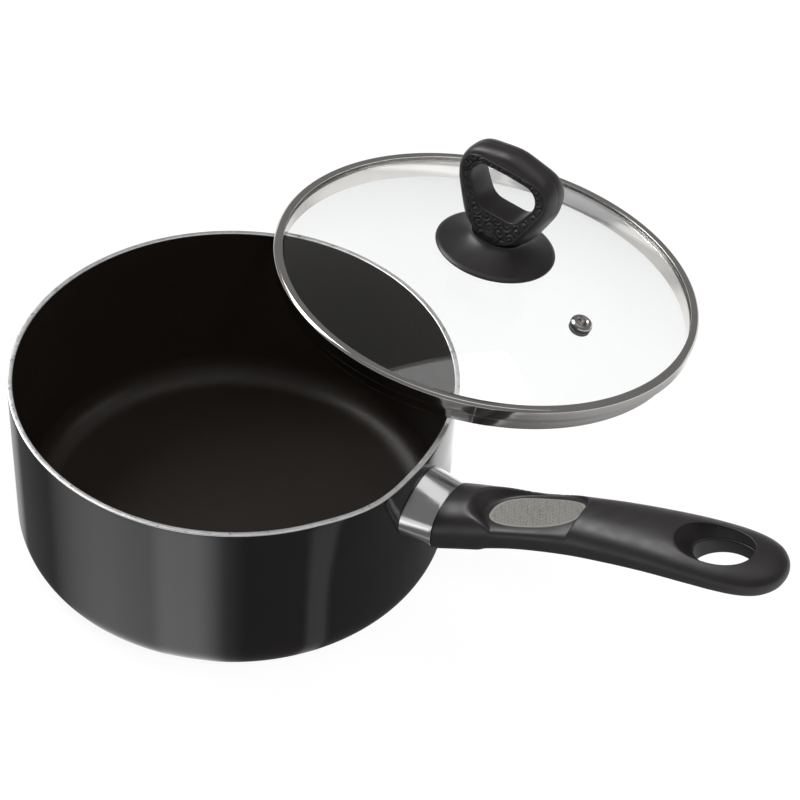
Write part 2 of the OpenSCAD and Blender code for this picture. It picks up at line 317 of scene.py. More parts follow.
def nonstick_look():
    look = Look("nonstick", Roughness=0.36, Specular_IOR_Level=0.26)
    speck = look.noise(1500, 2, 0.6)
    body = look.mix(look.noise(14, 3), (0.0064, 0.0046, 0.0036), (0.0100, 0.0072, 0.0058))
    dots = look.range(speck, 0.60, 0.74, 0.0, 0.55)
    look.set("Base Color", look.mix(dots, body, (0.026, 0.021, 0.018)))
    look.set("Roughness", look.range(look.noise(900, 3), 0.3, 0.7, 0.34, 0.46))
    coarse = look.bump(look.noise(700, 3, 0.6), 0.25, 0.00012)
    look.set("Normal", look.bump(speck, 0.22, 0.00006, coarse))
    return look.material


def bare_rim_look():
    look = Look("rim_brushed", Metallic=1.0, Roughness=0.3)
    lines = look.round_line(5200, 3)
    look.set("Base Color", look.mix(lines, (0.66, 0.66, 0.655), (0.90, 0.90, 0.895)))
    look.set("Roughness", look.range(look.noise(400, 3), 0.3, 0.7, 0.26, 0.40))
    look.set("Normal", look.bump(lines, 0.25, 0.00003))
    return look.material


def base_look():
    look = Look("base_turned", Metallic=1.0, Roughness=0.34)
    lines = look.round_line(2600, 4)
    stain = look.noise(30, 4)
    bright = look.mix(lines, (0.40, 0.40, 0.40), (0.60, 0.60, 0.595))
    look.set("Base Color", look.mix(look.range(stain, 0.5, 0.8, 0.0, 0.5), bright, (0.34, 0.32, 0.30)))
    look.set("Roughness", look.range(look.noise(240, 4), 0.3, 0.7, 0.28, 0.44))
    look.set("Normal", look.bump(lines, 0.35, 0.00005))
    return look.material


def steel_look(name, colour_a, colour_b, rough_a, rough_b, stretch, scratch=0.12):
    look = Look(name, Metallic=1.0, Roughness=0.15)
    lines = look.noise(60, 4, 0.6, stretch=stretch)
    look.set("Base Color", look.mix(look.noise(35, 3), colour_a, colour_b))
    look.set("Roughness", look.range(lines, 0.3, 0.7, rough_a, rough_b))
    look.set("Normal", look.bump(lines, scratch, 0.00002))
    return look.material


def plastic_look(name, dark, light, rough_a, rough_b, grain, depth, specular=0.5):
    look = Look(name, Roughness=0.4, Specular_IOR_Level=specular)
    look.set("Base Color", look.mix(look.noise(45, 3), dark, light))
    look.set("Roughness", look.range(look.noise(160, 4), 0.3, 0.7, rough_a, rough_b))
    fine = look.noise(grain, 3, 0.6)
    broad = look.bump(look.noise(180, 2), 0.06, 0.0001)
    look.set("Normal", look.bump(fine, depth, 0.00004, broad))
    return look


def relief_shade_look(name, low, high, rough_a, rough_b, grain, depth, specular=0.5):
    """Moulded plastic painted darker in its hollows and lighter on its raised parts, after the mesh's relief
    attribute: painted shade and painted highlight.
    """
    look = plastic_look(name, low, high, rough_a, rough_b, grain, depth, specular)
    relief = look.node("Attribute", {"attribute_name": "relief"}).outputs["Fac"]
    tone = look.mix(look.noise(120, 3), [0.92 * c for c in high], high)
    look.set("Base Color", look.mix(look.range(relief, -1.0, 1.0, 0.0, 1.0), low, tone))
    return look.material


def glass_look():
    look = Look(
        "glass_clear", Base_Color=(0.985, 0.995, 0.99), Roughness=0.0, IOR=1.5,
        Transmission_Weight=1.0,
    )
    look.set("Roughness", look.range(look.noise(40, 3), 0.55, 0.9, 0.0, 0.015))
    look.set("Normal", look.bump(look.noise(9, 2), 0.02, 0.0006))
    clear = look.node("BsdfTransparent", Color=(0.95, 0.965, 0.96))
    mixed = look.node("MixShader")
    look.link(look.node("LightPath").outputs["Is Shadow Ray"], mixed.inputs[0])
    look.link(look.shader.outputs[0], mixed.inputs[1])
    look.link(clear.outputs[0], mixed.inputs[2])
    look.link(mixed.outputs[0], look.out.inputs[0])
    return look.material


ENAMEL, NONSTICK, RIM, BASE = enamel_look(), nonstick_look(), bare_rim_look(), base_look()
FERRULE = steel_look(
    "steel_sleeve", (0.56, 0.56, 0.565), (0.66, 0.66, 0.665), 0.10, 0.24, (1, 9, 9), 0.16
)
BAND = steel_look("steel_band", (0.56, 0.54, 0.52), (0.68, 0.66, 0.64), 0.07, 0.16, (2, 2, 24), 0.1)
EYELET = steel_look("steel_eyelet", (0.50, 0.48, 0.46), (0.62, 0.60, 0.58), 0.14, 0.26, (1, 1, 1))
ZINC = steel_look("steel_hardware", (0.46, 0.46, 0.45), (0.60, 0.60, 0.58), 0.26, 0.42, (3, 3, 3), 0.3)
BRASS = steel_look("brass_thread", (0.60, 0.44, 0.18), (0.72, 0.55, 0.26), 0.22, 0.38, (2, 2, 2), 0.3)
GRIP = plastic_look(
    "grip_satin", (0.0075, 0.0062, 0.0062), (0.0115, 0.0096, 0.0096), 0.36, 0.48, 2400, 0.35, 0.5
).material
# Knob and pad colours run from painted shade in their hollows to painted highlight on their raised parts.
KNOB = relief_shade_look(
    "knob_satin", (0.0058, 0.0050, 0.0050), (0.0125, 0.0108, 0.0106), 0.34, 0.46, 2400, 0.3, 0.46
)
PAD = relief_shade_look(
    "pad_rubber", (0.095, 0.093, 0.084), (0.205, 0.200, 0.184), 0.52, 0.66, 3000, 0.4, 0.35
)
SILICONE = plastic_look(
    "silicone_dark", (0.016, 0.016, 0.016), (0.026, 0.026, 0.026), 0.5, 0.65, 2000, 0.2
).material
GLASS = glass_look()

# ---------- pan ----------

RIM_R, PAN_H = 105.0, 94.0
CORNER_R, LOW_R, FLOOR_T = 15.7, 103.4, 3.5
INNER_R, INNER_LOW, INNER_CORNER = 102.5, 100.9, 13.2
PAN_TURNS = 300
DENT_FROM, DENT_TO = 50.0, 94.0

# The wall is pressed in at the handle and stands out beside it, towards the near side: how far at the
# rim in mm, and the middle and half width in degrees from the handle
FLAT_DEPTH, FLAT_MID, FLAT_HALF = 1.4, -7, 26
SHOULDER_RISE, SHOULDER_MID, SHOULDER_HALF = 1.4, 20, 17


def swell(angle, mid, half):
    """1 at mid, falling smoothly to 0 at half on both sides."""
    return (1 + np.cos(np.pi * np.clip((angle - mid) / half, -1, 1))) / 2


def wall_push(angle):
    flat = FLAT_DEPTH * swell(angle, FLAT_MID, FLAT_HALF)
    return SHOULDER_RISE * swell(angle, SHOULDER_MID, SHOULDER_HALF) - flat


def push_at(x, y, z):
    angle = np.degrees(np.arctan2(-y, x))
    return wall_push(angle) * np.clip((z - DENT_FROM) / (DENT_TO - DENT_FROM), 0, 1)


def wall_radius(x, y, z):
    """Outside radius of the pan's wall towards (x, y) at a height z."""
    return LOW_R + (RIM_R - LOW_R) * (z - CORNER_R) / (PAN_H - CORNER_R) + push_at(x, y, z)


def make_pan():
    corners = [(0, 0, 0)]
    for k in range(7):
        r = 30 + 9 * k
        corners += [(r, 0, 0.2), (r + 0.25, 0.4, 0.15), (r + 3.25, 0.4, 0.15), (r + 3.5, 0, 0.2)]
    foot = RIM_R - 1.6 - CORNER_R
    outer = fill_in(rounded(corners + [(foot, 0, 0)], 3), 4)
    base_rows = len(outer)
    turn = math.atan2(RIM_R - LOW_R, PAN_H - CORNER_R)
    arc = [
        (foot + CORNER_R * math.sin(a), CORNER_R - CORNER_R * math.cos(a))
        for a in np.linspace(0, math.pi / 2 - turn, 17)[1:]
    ]
    side = fill_in(
        rounded([(*arc[-1], 0), (RIM_R, PAN_H, 0.45), (INNER_R, PAN_H, 0.4), (INNER_LOW, 16.7, 0)], 5), 3
    )[1:]
    inner_arc = [
        (87.7 + INNER_CORNER * math.cos(a), 16.7 - INNER_CORNER * math.sin(a))
        for a in np.linspace(0, math.pi / 2, 17)[1:]
    ]
    floor = fill_in(np.array([inner_arc[-1], (0, FLOOR_T)]), 6)[1:]
    path = np.vstack([outer, arc, side, inner_arc, floor])
    top = int(np.argmax(path[:, 1]))

    def slot(i, _):
        r, z = (path[i] + path[min(i + 1, len(path) - 1)]) / 2
        if i < base_rows - 1:
            return 3
        if z > PAN_H - 0.85 and (i < top or z > PAN_H - 0.5):
            return 2
        return 0 if i < top else 1

    pts = lathe(path, turn_steps(PAN_TURNS))
    push = push_at(pts[..., 0], pts[..., 1], pts[..., 2])
    r = np.maximum(np.hypot(pts[..., 0], pts[..., 1]), 1e-6)
    pts[..., 0] *= 1 + push / r
    pts[..., 1] *= 1 + push / r
    shell = Shell()
    shell.grid(pts, wrap_v=True, slot=slot)
    shell.build("pan_shell", [ENAMEL, NONSTICK, RIM, BASE], "pan", ["pan_body"])


make_pan()

# ---------- sleeve between pan and handle ----------

WALL_X, JOINT_X, GRIP_X = 103.5, 118.9, 119.0
WALL_Z, JOINT_Z = 70.0, 69.6
SLEEVE_W, SLEEVE_UP, SLEEVE_LOW = 19.2, 17.2, 15.0  # half width and heights at the wall
JOINT_W, JOINT_H = 16.9, 14.3
UPPER_P, SLEEVE_P = 1.8, 2.15
CREST_SMOOTHING = 10


def sleeve_point(x, turn, thick):
    """The sleeve runs straight from an arch with a softened crest at the wall to an oval at the grip."""
    f = (x - WALL_X) / (GRIP_X - WALL_X)
    upper = np.sin(turn) >= 0
    wall_y, wall_z = superpoint(
        SLEEVE_W - thick, np.where(upper, SLEEVE_UP, SLEEVE_LOW) - thick,
        np.where(upper, UPPER_P, SLEEVE_P), turn,
    )
    grip_y, grip_z = superpoint(JOINT_W - thick, JOINT_H - thick, SLEEVE_P, turn)
    for _ in range(CREST_SMOOTHING):
        wall_y, wall_z = ((np.roll(v, 1) + 2 * v + np.roll(v, -1)) / 4 for v in (wall_y, wall_z))
    y = wall_y + f * (grip_y - wall_y)
    z = WALL_Z + wall_z + f * (JOINT_Z + grip_z - WALL_Z - wall_z)
    return np.stack([x + 0 * y, y, z], axis=-1)


def make_ferrule():
    turns = turn_steps(144)
    start = np.full(len(turns), WALL_X)
    for _ in range(6):
        p = sleeve_point(start, turns, 0)
        r = wall_radius(p[:, 0], p[:, 1], p[:, 2]) - 0.4
        start = np.sqrt(r * r - p[:, 1] ** 2)
    rows = []
    for f in np.linspace(0, 1, 15):
        rows.append(sleeve_point(start + (JOINT_X - 0.25 - start) * f, turns, 0))
    for a in np.linspace(0, math.pi / 2, 4)[1:]:
        x = JOINT_X - 0.25 + 0.25 * math.sin(a)
        rows.append(sleeve_point(np.full(len(turns), x), turns, 0.25 - 0.25 * math.cos(a)))
    for f in np.linspace(0, 1, 6):
        rows.append(sleeve_point(JOINT_X - (JOINT_X - start) * f, turns, 1.0))
    rows.append(rows[0])
    shell = Shell()
    shell.grid(rows, wrap_v=True)
    shell.build("ferrule_sleeve", [FERRULE], "pan", ["ferrule"])


make_ferrule()

# ---------- handle ----------

GRIP_LEN, GRIP_Z = 162.0, 69.0
GRIP_RISE, GRIP_BEND = 0.56, 0.001268
GRIP_P = 2.3
FRONT = 0.13
RING_N = 112
END_X = 220.0  # where the swept rings give way to the ring of quads about the hanging hole
TABLE_S = [
    0, 0.05, 0.13, 0.25, 0.38, 0.5, 0.63, 0.75, 0.81, 0.86, 0.905, 0.945, 0.972, 0.99, 1,
]
TABLE_W = [16.9, 16.5, 15.7, 14.9, 15.2, 16.4, 17.6, 18.6, 18.7, 18.3, 17.2, 14.8, 11.3, 7.2, 0]
TABLE_UP = [12.5, 12.4, 12.1, 11.4, 11, 10.4, 9.7, 8.9, 8.5, 8.1, 7.5, 6.6, 5.3, 3.6, 0]
LOW_S = [0, 0.105, 0.13] + TABLE_S[3:]
TABLE_LOW = [13, 13.2, 11.9, 11, 10.6, 10.2, 9.7, 9.3, 9.1, 8.9, 8.5, 7.7, 6.3, 4.3, 0]


def to_tip(s):
    return np.sqrt(np.clip(1 - np.asarray(s, float), 0, 1))


width_of = monotone(to_tip(TABLE_S), TABLE_W)
up_of = monotone(to_tip(TABLE_S), TABLE_UP)
low_of = monotone(to_tip(LOW_S), TABLE_LOW)


def grip_frame(x):
    """Centre, outward direction and height factor of the ring at a distance x from the pan's axis."""
    x = np.asarray(x, float)
    s = (x - GRIP_X) / GRIP_LEN
    z = GRIP_Z + GRIP_RISE * (x - GRIP_X) - GRIP_BEND * (x - GRIP_X) ** 2
    slope = np.arctan(GRIP_RISE - 2 * GRIP_BEND * (x - GRIP_X))
    tilt = slope * np.minimum(1, s / FRONT)
    centre = np.stack([x, 0 * x, z + 0.6 * np.maximum(0, 1 - s / FRONT)], axis=-1)
    out = np.stack([-np.sin(tilt), 0 * x, np.cos(tilt)], axis=-1)
    return s, centre, out, 1 / np.cos(slope - tilt)


def local_frame(x):
    """Origin, along and outward axes of the straight frame at x, as used for the pad and the hole."""
    z = GRIP_Z + GRIP_RISE * (x - GRIP_X) - GRIP_BEND * (x - GRIP_X) ** 2
    slope = math.atan(GRIP_RISE - 2 * GRIP_BEND * (x - GRIP_X))
    along = np.array([math.cos(slope), 0, math.sin(slope)])
    return np.array([x, 0, z]), along, np.array([-along[2], 0, along[0]])


PAD_O, PAD_T, PAD_N = local_frame(164.0)
HOLE_O, HOLE_T, HOLE_N = local_frame(250.5)
SIDEWAYS = np.array([0, 1, 0])
SCREW_O, SCREW_T, SCREW_N = local_frame(129.0)
SCOOP_W, SCOOP_R, SCOOP_MID = 3.95, 294.0, -18.1


def scoop_floor(x):
    return SCOOP_W + (x - SCOOP_MID) ** 2 / (2 * SCOOP_R)


def scoop_height(x, y):
    """Height of the thumb scoop in the pad's frame, with leaning walls at its end and far side."""
    near = np.where(y > 0, 0.0, 12.0 * smooth_step(x, -26, -2))
    low = (np.abs((x - 0.5) / 26.1) ** 2.4 + np.abs(y / (12.6 + near)) ** 2.4) ** (1 / 2.4) - 1
    high = (np.abs((x + 2.9) / 30.1) ** 2.4 + np.abs(y / (16.4 + near)) ** 2.4) ** (1 / 2.4) - 1
    wall = 2 + 10.5 * np.clip(low / np.maximum(low - high, 0.02), -3, 3)
    return -smooth_min(-scoop_floor(x), -wall, 0.9 + 3.0 * smooth_step(x, 12, 26))


def grip_surface(x, y, upper, v=None):
    """A point on the handle's top or bottom skin above (x, y)."""
    s, centre, out, k = grip_frame(x)
    if v is None:
        w = np.maximum(width_of(to_tip(s)), 1e-6)
        v = np.clip(1 - np.abs(y / w) ** GRIP_P, 0, 1) ** (1 / GRIP_P)
    v = v * k * (up_of(to_tip(s)) if upper else -low_of(to_tip(s)))
    if upper:
        rel = centre - PAD_O
        near = (rel + 8 * out) @ PAD_T
        floor = (scoop_height(near, y) - rel @ PAD_N) / (out @ PAD_N)
        soft = 0.6 + 6.0 * smooth_step(-y, 1, 12) + 1.5 * smooth_step(near, 14, 28)
        cut = smooth_min(v, floor, soft)
        v = np.where((near < 40) & (near > -45), np.where(v > 0, np.maximum(cut, 0), v), v)
    return centre + np.stack([0 * x, y, 0 * x], axis=-1) + v[..., None] * out


def find_x(target, y, upper, origin, along):
    """Distance along the handle at which the skin's point lies at target in a straight frame."""
    x = origin[0] + target * along[0]
    for _ in range(12):
        p = grip_surface(x, y, upper)
        x = x + (target - (p - origin) @ along) / along[0] * 0.9
    return x


def blend_loops(inner, outer, count, power=None):
    """Rows of points between two loops, closer together towards the outer one."""
    f = np.linspace(0, 1, count + 1)
    f = np.sin(f * math.pi / 2) if power is None else f**power
    return inner[None] + (outer - inner)[None] * f[:, None, None]


# centre, half length, half width and power of each oval of the hanging hole
MOUTH, THROUGH = (-1.5, -0.9, 18.0, 11.7, 2.24), (1.4, 1.9, 15.2, 9.0, 2.0)


def make_handle():
    shell = Shell()
    turns = turn_steps(RING_N)
    half = RING_N // 2
    xs = np.concatenate([
        np.linspace(GRIP_X, 135, 21)[:-1], np.linspace(135, 196, 96)[:-1],
        np.linspace(196, END_X, 25),
    ])
    pw = np.abs(np.sin(turns)) ** (2 / GRIP_P)
    rows = []
    for x in xs:
        s = (x - GRIP_X) / GRIP_LEN
        c = np.cos(turns)
        y = width_of(to_tip(s)) * np.sign(c) * np.abs(c) ** (2 / GRIP_P)
        y[0], y[half] = width_of(to_tip(s)), -width_of(to_tip(s))
        top = grip_surface(np.full(RING_N, x), y, True, pw)
        low = grip_surface(np.full(RING_N, x), y, False, pw)
        rows.append(np.where((np.arange(RING_N) <= half)[:, None], top, low))
    rows = np.array(rows)
    # Screw pocket under the front end: a block of cells gives way to a ring of quads
    px0, px1 = np.searchsorted(xs, SCREW_O[0] - 2.6 - 6), np.searchsorted(xs, SCREW_O[0] + 7.2 + 6)
    px0 = max(px0, 1)
    mid = half + half // 2
    span = 11
    shell.grid(
        rows, wrap_v=True,
        skip=lambda i, j: px0 <= i < px1 and mid - span <= j < mid + span,
    )
    block = (
        [(px0, j) for j in range(mid - span, mid + span)]
        + [(i, mid + span) for i in range(px0, px1)]
        + [(px1, j) for j in range(mid + span, mid - span, -1)]
        + [(i, mid - span) for i in range(px1, px0, -1)]
    )
    ring = np.array([rows[i, j] for i, j in block])
    flat = np.stack([(ring - SCREW_O) @ SCREW_T, ring[:, 1]], axis=1)
    angle = np.arctan2(flat[:, 1], flat[:, 0])
    circle = lambda r: np.stack([r * np.cos(angle), r * np.sin(angle)], axis=1)
    edge = circle(5.1)
    skin = blend_loops(edge, flat, 8, 1.0)
    lifted = []
    for row in skin[:-1]:
        x = find_x(row[:, 0], row[:, 1], False, SCREW_O, SCREW_T)
        lifted.append(grip_surface(x, row[:, 1], False))
    lifted.append(ring)
    shell.grid(lifted, wrap_v=True)
    depth = (lifted[0] - SCREW_O) @ SCREW_N
    wall = [lifted[0]]
    for a in np.linspace(0, math.pi / 2, 5)[1:]:
        c = circle(5.1 - 0.7 * math.sin(a))
        w = depth + 0.7 * (1 - math.cos(a))
        wall.append(SCREW_O + c[:, :1] * SCREW_T + w[:, None] * SCREW_N + c[:, 1:] * [0, 1, 0])
    for r, w in ((4.4, -11.2), (4.4, -10.55), (4.0, -10.5), (0.0, -10.5)):
        c = circle(r)
        wall.append(SCREW_O + c[:, :1] * SCREW_T + w * SCREW_N + c[:, 1:] * [0, 1, 0])
    shell.grid(wall, wrap_v=True)
    # Front face
    first, mid_p = rows[0], np.array([GRIP_X, 0, GRIP_Z + 0.6])
    front = [first] + [mid_p + (first - mid_p) * f for f in (0.96, 0.85, 0.6, 0.3, 0.0)]
    shell.grid(front, wrap_v=True)
    # The end, as rings of quads between the outline and the hanging hole
    q = np.linspace(to_tip((END_X - GRIP_X) / GRIP_LEN), 0, 800)
    side = np.stack([GRIP_X + GRIP_LEN * (1 - q * q), width_of(q)], axis=1)
    side = spread(side, 46)
    side[0] = (END_X, width_of(to_tip((END_X - GRIP_X) / GRIP_LEN)))
    end_y = rows[-1][:, 1]
    loop = np.vstack([
        side, np.stack([side[-2:0:-1, 0], -side[-2:0:-1, 1]], axis=1),
        np.stack([np.full(half, END_X), end_y[half:0:-1]], axis=1),
    ])
    z = GRIP_Z + GRIP_RISE * (loop[:, 0] - GRIP_X) - GRIP_BEND * (loop[:, 0] - GRIP_X) ** 2
    rel = np.stack([loop[:, 0], 0 * z, z], axis=1) - HOLE_O
    turn = np.arctan2(loop[:, 1] / 17.5, rel @ HOLE_T / 30)
    n_loop = len(loop)

    def outline(shape, grow):
        u, y = superpoint(shape[2] + grow, shape[3] + grow, shape[4], turn)
        return u + shape[0], y + shape[1]

    def place(shape, grow, w, other=None, part=0.0):
        u, y = outline(shape, grow)
        if other is not None:
            u2, y2 = outline(*other)
            u, y = u + (u2 - u) * part, y + (y2 - y) * part
        up = np.asarray(w).reshape(-1, 1) * HOLE_N
        return HOLE_O + u[:, None] * HOLE_T + up + y[:, None] * SIDEWAYS

    walls = []
    for upper, shape, fillet in ((True, MOUTH, 0.5), (False, THROUGH, 1.2)):
        u, y = outline(shape, fillet)
        x = find_x(u, y, upper, HOLE_O, HOLE_T)
        inner = np.stack([x, y], axis=1)
        outer = loop
        mesh = blend_loops(inner, outer, 20)
        pts = grip_surface(mesh[..., 0], mesh[..., 1], upper)
        # the last row takes the skin's own outline and the last swept ring
        edge_pts = grip_surface(loop[:, 0], loop[:, 1], upper, np.zeros(n_loop))
        ring_j = np.arange(half, 0, -1) if upper else (RING_N - np.arange(half, 0, -1)) % RING_N
        edge_pts[-half:] = rows[-1][ring_j]
        pts[-1] = edge_pts
        shell.grid(pts, wrap_v=True)
        height = (pts[0] - HOLE_O) @ HOLE_N
        sign = -1 if upper else 1
        edge = [pts[0]]
        for t in np.linspace(0, math.pi / 2, 6)[1:]:
            g = fillet * (1 - math.sin(t))
            edge.append(place(shape, g, height + sign * fillet * (1 - math.cos(t))))
        walls.append(edge)
    top_h = (walls[0][-1] - HOLE_O) @ HOLE_N
    low_h = (walls[1][-1] - HOLE_O) @ HOLE_N
    inside = list(walls[0])
    soft = 0.6
    ledge = 0.0
    for f in np.linspace(0, 1, 14)[1:]:
        h = top_h + (ledge - top_h) * f
        inside.append(place(MOUTH, 0.0, h, (THROUGH, soft), f))
    for t in np.linspace(0, math.pi / 2, 6)[1:]:
        inside.append(place(THROUGH, soft * (1 - math.sin(t)), ledge - soft * (1 - math.cos(t))))
    for f in np.linspace(0, 1, 7)[1:]:
        inside.append(place(THROUGH, 0.0, ledge - soft + (low_h - ledge + soft) * f))
    inside += walls[1][::-1][1:]
    shell.grid(inside, wrap_v=True)
    shell.build("handle_grip", [GRIP], "pan", ["handle_body"])


make_handle()


def scroll(x, y, pitch, arm):
    """Height, -1 to 1, of a raised scroll repeated on a staggered lattice."""
    best = np.full(np.shape(x), 1e9)
    phase = np.zeros(np.shape(x))
    row_h = pitch * 0.866
    for dj in (-1, 0, 1):
        j = np.round(y / row_h) + dj
        off = np.where(j % 2 == 0, 0.0, 0.5)
        i = np.round(x / pitch - off)
        dx, dy = x - (i + off) * pitch, y - j * row_h
        d = np.hypot(dx, dy)
        sign = np.where((i + j) % 2 == 0, 1.0, -1.0)
        near = d < best
        phase = np.where(near, 2 * np.pi * d / arm + sign * np.arctan2(dy, dx), phase)
        best = np.where(near, d, best)
    return np.cos(phase)


PAD_HALF, PAD_P = (25.1, 10.6), 2.6


def make_pad():
    rings, count = 64, 288
    turns = turn_steps(count)
    u, y = superpoint(*PAD_HALF, PAD_P, turns)
    edge = spread(np.stack([u, y], axis=1), count, True)
    scale = np.concatenate([np.linspace(1, 0.93, 5)[:-1], np.linspace(0.93, 0.0, rings)])
    px = edge[None, :, 0] * scale[:, None] + 1
    py = edge[None, :, 1] * scale[:, None]
    wide = py * (1 - 0.0026 * (px - 1))
    skin = scoop_floor(px) + 0.4
    x = find_x(px, wide, True, PAD_O, PAD_T)
    body = (grip_surface(x, wide, True) - PAD_O) @ PAD_N
    top = np.minimum(skin, body + 0.42)
    inside = smooth_step(1 - scale, 0.045, 0.085)[:, None]
    relief = scroll(px, wide, 3.5, 1.15) * inside
    round_edge = 0.4 * (1 - np.sqrt(1 - smooth_step(scale, 0.955, 1.0)[:, None] ** 2 * 0.96))
    h = top - round_edge + 0.21 * relief - 0.16 * inside
    pts = PAD_O + px[..., None] * PAD_T + h[..., None] * PAD_N + wide[..., None] * SIDEWAYS
    low = pts[0] - 1.4 * PAD_N
    mid = low.mean(0)
    under = [pts[0], low, mid + (low - mid) * 0.5, mid + (low - mid) * 0.0]
    shell = Shell()
    # Marks: the scroll's hollows are painted darker and its raised parts lighter, painted shade and
    # highlight; the rest of the top takes 0.9, the underside 0.5 as painted shade under the pad.
    shell.grid(pts, wrap_v=True, mark=np.where(inside > 0.5, relief, 0.9) * np.ones_like(px))
    shell.grid(under, wrap_v=True, mark=np.full((4, count), 0.5))
    shell.build("grip_pad", [PAD], "pan", ["grip_insert"])


make_pad()

# ---------- lid ----------

LID = shift(62.9, 124.8, 99.4) @ rot_z(math.radians(64.76)) @ rot_y(math.radians(9.27)) @ rot_z(
    math.radians(35 - 64.76)
)
DOME_H, DOME_EDGE = 16.0, 101.0
DOME_R = (DOME_EDGE**2 + (DOME_H + 1) ** 2) / (2 * (DOME_H + 1))
GLASS_T = 3.8
VENT_TURN, VENT_AT = math.radians(-50.7), 60.7
SEAM_TURN = math.radians(-98)


def make_band():
    path = fill_in(rounded([
        (100.8, -0.1, 0.25), (101.0, 0.0, 0.2), (104.0, 0.0, 0.7), (105.0, -1.0, 0.8), (105.0, -6.8, 0.35),
        (101.4, -6.95, 0.5), (100.8, -7.6, 0.5), (100.8, -13.9, 0.1), (100.75, -14.2, 0.12),
        (100.25, -14.2, 0.12), (100.2, -13.9, 0.1), (100.2, -6.3, 0.4), (104.4, -6.2, 0.3),
        (104.4, -0.75, 0.4), (100.8, -0.6, 0.15),
    ], 5, True), 1.6)
    path = np.vstack([path, path[:1]])
    fine = SEAM_TURN + np.radians([-0.32, -0.2, -0.12, -0.06, 0, 0.06, 0.12, 0.2, 0.32])
    turns = np.arange(360) * 2 * math.pi / 360 - math.pi
    turns = turns[np.abs(turns - SEAM_TURN) > math.radians(0.5)]
    turns = np.sort(np.concatenate([turns, fine]))
    pts = lathe(path, turns)
    off = np.degrees(turns - SEAM_TURN)
    lap = smooth_step(off, -0.05, 0.1) - smooth_step(off, 4, 6)
    groove = -0.22 * np.exp(-((off / 0.09) ** 2)) + 0.12 * lap
    outer = ((path[:, 0] > 100.6) & (path[:, 1] < -0.5))[:, None] * groove[None]
    r = np.hypot(pts[..., 0], pts[..., 1])
    pts[..., 0] *= 1 + outer / r
    pts[..., 1] *= 1 + outer / r
    shell = Shell()
    shell.grid(pts, wrap_v=True)
    shell.build("lid_band", [BAND], "lid", ["rim_band"], LID)


make_band()


def dome_z(r, inner):
    radius = DOME_R - (GLASS_T if inner else 0)
    return DOME_H - DOME_R + np.sqrt(radius * radius - r * r)


def make_glass():
    shell = Shell()
    count = 180
    turns = turn_steps(count)
    radii = np.concatenate([[4.5], np.linspace(8, 100, 47), [102.2, 103.4]])
    i0, i1 = int(np.argmin(np.abs(radii - VENT_AT + 8))), int(np.argmin(np.abs(radii - VENT_AT - 8)))
    j0, j1 = 147, 162
    mid_turn = turns[j0] + (turns[j1] - turns[j0]) / 2
    turns = turns + (VENT_TURN % (2 * math.pi) - mid_turn)
    for inner in (False, True):
        def lift(x, y):
            return np.stack([x, y, dome_z(np.hypot(x, y), inner)], axis=-1)

        flat_x = radii[:, None] * np.cos(turns)[None]
        flat_y = radii[:, None] * np.sin(turns)[None]
        pts = lift(flat_x, flat_y)
        shell.grid(pts, wrap_v=True, skip=lambda i, j: i0 <= i < i1 and j0 <= j < j1)
        block = (
            [(i0, j) for j in range(j0, j1)] + [(i, j1) for i in range(i0, i1)]
            + [(i1, j) for j in range(j1, j0, -1)] + [(i, j0) for i in range(i1, i0, -1)]
        )
        loop = np.array([(flat_x[i, j], flat_y[i, j]) for i, j in block])
        at = VENT_AT - (0.75 if inner else 0)
        centre = np.array([at * math.cos(VENT_TURN), at * math.sin(VENT_TURN)])
        angle = np.arctan2(loop[:, 1] - centre[1], loop[:, 0] - centre[0])
        hole = centre + 4.0 * np.stack([np.cos(angle), np.sin(angle)], axis=1)
        mesh = blend_loops(hole, loop, 7, 1.25)
        shell.grid(lift(mesh[..., 0], mesh[..., 1]), wrap_v=True)
        if inner:
            low_hole, low_in, low_out = lift(hole[:, 0], hole[:, 1]), pts[0], pts[-1]
        else:
            top_hole, top_in, top_out = lift(hole[:, 0], hole[:, 1]), pts[0], pts[-1]
    for a, b in ((top_hole, low_hole), (top_in, low_in)):
        shell.grid([a + (b - a) * f for f in np.linspace(0, 1, 4)], wrap_v=True)
    edge = []
    for t in np.linspace(-math.pi / 2, math.pi / 2, 9):
        mid = (top_out + low_out) / 2
        out = np.stack([np.cos(turns), np.sin(turns), 0 * turns], axis=1)
        edge.append(mid + (low_out - top_out) / 2 * math.sin(t) + out * 0.45 * math.cos(t))
    shell.grid(edge, wrap_v=True)
    shell.build("lid_dome", [GLASS], "lid", ["lid_glass"], LID)


make_glass()


def dome_frame(turn, at):
    lean = math.asin(at / DOME_R)
    return LID @ rot_z(turn) @ shift(0, 0, DOME_H - DOME_R) @ rot_y(lean) @ shift(0, 0, DOME_R)


